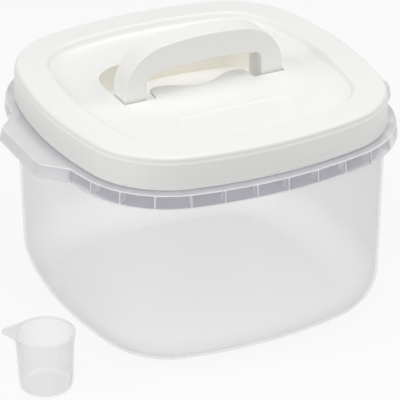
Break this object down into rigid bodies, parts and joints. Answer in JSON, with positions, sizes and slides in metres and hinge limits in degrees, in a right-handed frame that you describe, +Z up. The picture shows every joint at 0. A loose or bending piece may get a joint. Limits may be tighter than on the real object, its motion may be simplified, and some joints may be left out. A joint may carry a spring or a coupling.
{
  "type": "rice bin with flip handle lid",
  "caption": "Clear square keeper bin for dry rice with a ribbed rim and ear grips, a white lid whose arched handle folds back flush, and a clear measuring cup.",
  "frame": {"origin": "middle of the tub's base, on the face it stands on", "axes": "+Z up; X along the handle and the ear grips; the handle folds back towards +Y, so -Y is the front"},
  "size_m": [0.4356, 0.3432, 0.273],
  "materials": {
    "tub": "clear plastic, faintly frosted",
    "lid": "white plastic, satin",
    "handle": "white plastic, satin",
    "measuring_cup": "clear plastic, polished"
  },
  "bodies": {
    "tub": {"tub": "tub"},
    "lid": {"lid": "lid"},
    "handle": {"handle": "handle"},
    "measuring_cup": {"measuring_cup": "measuring_cup"}
  },
  "joints": [
    {"name": "lid_lift", "type": "slide", "parent": "tub", "child": "lid", "axis": [0, 0, 1], "range_m": [0, 0.12]},
    {"name": "handle_fold", "type": "hinge", "parent": "lid", "child": "handle", "pos_m": [0, 0, 0.2063], "axis": [-1, 0, 0], "range_deg": [0, 90]},
    {"name": "cup_lift", "type": "slide", "parent": "tub", "child": "measuring_cup", "axis": [0, 0, 1], "range_m": [0, 0.2]}
  ]
}
